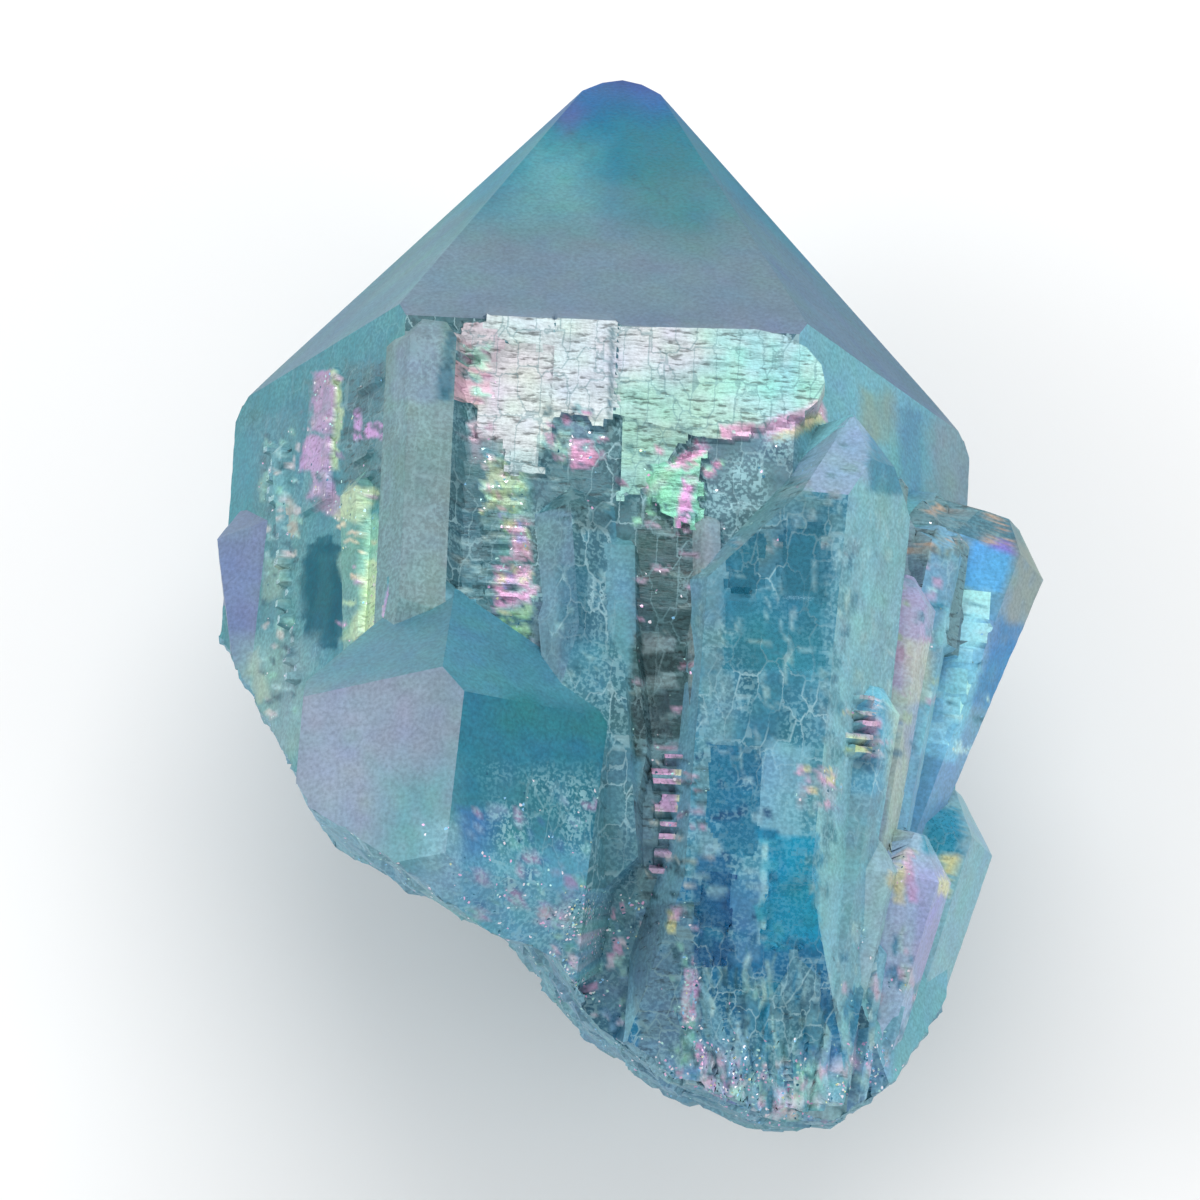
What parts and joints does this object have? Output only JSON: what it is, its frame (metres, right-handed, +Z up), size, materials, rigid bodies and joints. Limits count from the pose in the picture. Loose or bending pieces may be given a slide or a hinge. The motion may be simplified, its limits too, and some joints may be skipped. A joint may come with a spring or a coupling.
{
  "type": "aura quartz point",
  "caption": "A stout quartz crystal with a six-sided tip, smaller crystals grown along it and a broken root, under an iridescent metal film.",
  "frame": {"origin": "on the flat back prism face that the crystal lies on, straight below its long axis", "axes": "+Y along the long axis towards the tip, +Z up from the resting face, +X to the right as the picture shows it"},
  "size_m": [0.0247, 0.034, 0.0218],
  "materials": {
    "aura_quartz": "clear to milky quartz with a thin iridescent metal film: smooth on the tip, silvery and glinting on the front face, frosted on the side crystals"
  },
  "bodies": {
    "root": {"quartz_point": "aura_quartz"}
  },
  "joints": []
}
